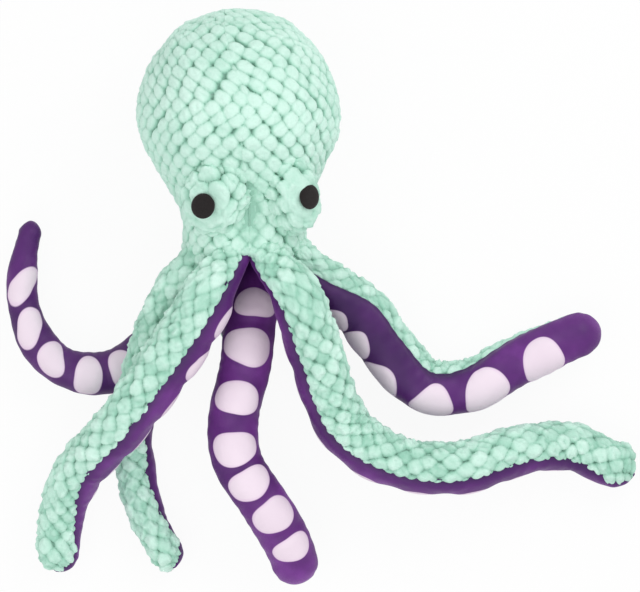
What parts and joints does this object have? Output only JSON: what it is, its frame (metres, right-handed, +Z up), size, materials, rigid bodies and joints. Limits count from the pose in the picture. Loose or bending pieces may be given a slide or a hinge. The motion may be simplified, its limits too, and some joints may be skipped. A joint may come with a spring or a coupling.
{
  "type": "plush octopus",
  "caption": "Stuffed plush octopus with a swelling round head, raised eye mounds and long arms, plush on top and smooth underneath.",
  "frame": {"origin": "on the flat at the back of the head, 1.4 mm to the right of the seam, under the head's widest place", "axes": "+Z up, out of the face; +Y towards the crown; +X to the right as the face is looked at"},
  "size_m": [0.3601, 0.3267, 0.1165],
  "materials": {
    "mint_plush": "deep mint bubble plush",
    "purple_knit": "smooth stretch knit, satin sheen",
    "black_felt": "matte black felt",
    "stuffing": "white polyester fibre"
  },
  "bodies": {
    "head": {"head_right_panel": "mint_plush", "head_left_panel": "mint_plush", "head_filling": "stuffing", "base_panel": "purple_knit", "left_eye_mound": "mint_plush", "left_eye": "black_felt", "right_eye_mound": "mint_plush", "right_eye": "black_felt"},
    "side_right_inner": {"side_right_inner_top": "mint_plush", "side_right_inner_underside": "purple_knit", "side_right_inner_filling": "stuffing"},
    "side_right_outer": {"side_right_outer_top": "mint_plush", "side_right_outer_underside": "purple_knit", "side_right_outer_filling": "stuffing"},
    "front_right_inner": {"front_right_inner_top": "mint_plush", "front_right_inner_underside": "purple_knit", "front_right_inner_filling": "stuffing"},
    "front_right_outer": {"front_right_outer_top": "mint_plush", "front_right_outer_underside": "purple_knit", "front_right_outer_filling": "stuffing"},
    "front_left_inner": {"front_left_inner_top": "mint_plush", "front_left_inner_underside": "purple_knit", "front_left_inner_filling": "stuffing"},
    "front_left_outer": {"front_left_outer_top": "mint_plush", "front_left_outer_underside": "purple_knit", "front_left_outer_filling": "stuffing"},
    "side_left_inner": {"side_left_inner_top": "mint_plush", "side_left_inner_underside": "purple_knit", "side_left_inner_filling": "stuffing"},
    "side_left_outer": {"side_left_outer_top": "mint_plush", "side_left_outer_underside": "purple_knit", "side_left_outer_filling": "stuffing"},
    "low_left_inner": {"low_left_inner_top": "mint_plush", "low_left_inner_underside": "purple_knit", "low_left_inner_filling": "stuffing"},
    "low_left_outer": {"low_left_outer_top": "mint_plush", "low_left_outer_underside": "purple_knit", "low_left_outer_filling": "stuffing"},
    "back_left_inner": {"back_left_inner_top": "mint_plush", "back_left_inner_underside": "purple_knit", "back_left_inner_filling": "stuffing"},
    "back_left_outer": {"back_left_outer_top": "mint_plush", "back_left_outer_underside": "purple_knit", "back_left_outer_filling": "stuffing"},
    "back_right_inner": {"back_right_inner_top": "mint_plush", "back_right_inner_underside": "purple_knit", "back_right_inner_filling": "stuffing"},
    "back_right_outer": {"back_right_outer_top": "mint_plush", "back_right_outer_underside": "purple_knit", "back_right_outer_filling": "stuffing"},
    "low_right_inner": {"low_right_inner_top": "mint_plush", "low_right_inner_underside": "purple_knit", "low_right_inner_filling": "stuffing"},
    "low_right_outer": {"low_right_outer_top": "mint_plush", "low_right_outer_underside": "purple_knit", "low_right_outer_filling": "stuffing"}
  },
  "joints": [
    {"name": "side_right_root_lift", "type": "hinge", "parent": "head", "child": "side_right_inner", "pos_m": [0.02969, -0.078, 0.05252], "axis": [-0.7275, -0.6861, 0], "range_deg": [0, 20]},
    {"name": "side_right_bend_swing", "type": "hinge", "parent": "side_right_inner", "child": "side_right_outer", "pos_m": [0.11197, -0.15378, 0.01549], "axis": [0, 0, 1], "range_deg": [-21, 15]},
    {"name": "front_right_root_lift", "type": "hinge", "parent": "head", "child": "front_right_inner", "pos_m": [0.01482, -0.078, 0.06739], "axis": [-0.924, -0.3823, 0], "range_deg": [0, 32]},
    {"name": "front_right_bend_lift", "type": "hinge", "parent": "front_right_inner", "child": "front_right_outer", "pos_m": [0.06653, -0.18171, 0.04092], "axis": [-0.6225, -0.7827, 0], "range_deg": [0, 30]},
    {"name": "front_left_root_lift", "type": "hinge", "parent": "head", "child": "front_left_inner", "pos_m": [-0.00622, -0.078, 0.06739], "axis": [-0.9172, 0.3984, 0], "range_deg": [0, 26]},
    {"name": "front_left_bend_lift", "type": "hinge", "parent": "front_left_inner", "child": "front_left_outer", "pos_m": [-0.06916, -0.17179, 0.05563], "axis": [-0.7624, 0.6471, 0], "range_deg": [0, 48]},
    {"name": "side_left_root_swing", "type": "hinge", "parent": "head", "child": "side_left_inner", "pos_m": [-0.02109, -0.078, 0.05252], "axis": [0, 0, 1], "range_deg": [0, 15]},
    {"name": "side_left_bend_lift", "type": "hinge", "parent": "side_left_inner", "child": "side_left_outer", "pos_m": [-0.06225, -0.16401, 0.02652], "axis": [-0.9919, 0.1272, 0], "range_deg": [0, 24]},
    {"name": "low_left_root_swing", "type": "hinge", "parent": "head", "child": "low_left_inner", "pos_m": [-0.02109, -0.078, 0.03148], "axis": [0, 0, 1], "range_deg": [-28, 2]},
    {"name": "low_left_bend_swing", "type": "hinge", "parent": "low_left_inner", "child": "low_left_outer", "pos_m": [-0.08338, -0.14573, 0.01196], "axis": [0, 0, 1], "range_deg": [-24, 50]},
    {"name": "back_left_root_swing", "type": "hinge", "parent": "head", "child": "back_left_inner", "pos_m": [-0.00622, -0.078, 0.01661], "axis": [0, 0, 1], "range_deg": [-9, 0]},
    {"name": "back_left_bend_swing", "type": "hinge", "parent": "back_left_inner", "child": "back_left_outer", "pos_m": [-0.00051, -0.1453, 0.01016], "axis": [0, 0, 1], "range_deg": [-20, 30]},
    {"name": "back_right_root_swing", "type": "hinge", "parent": "head", "child": "back_right_inner", "pos_m": [0.01482, -0.078, 0.01661], "axis": [0, 0, 1], "range_deg": [-2, 5]},
    {"name": "back_right_bend_lift", "type": "hinge", "parent": "back_right_inner", "child": "back_right_outer", "pos_m": [-0.00503, -0.18453, 0.03504], "axis": [-0.9972, -0.0744, 0], "range_deg": [0, 38]},
    {"name": "low_right_root_swing", "type": "hinge", "parent": "head", "child": "low_right_inner", "pos_m": [0.02969, -0.078, 0.03148], "axis": [0, 0, 1], "range_deg": [-8, 6]},
    {"name": "low_right_bend_swing", "type": "hinge", "parent": "low_right_inner", "child": "low_right_outer", "pos_m": [0.05073, -0.15736, 0.01084], "axis": [0, 0, 1], "range_deg": [-50, 12]}
  ]
}
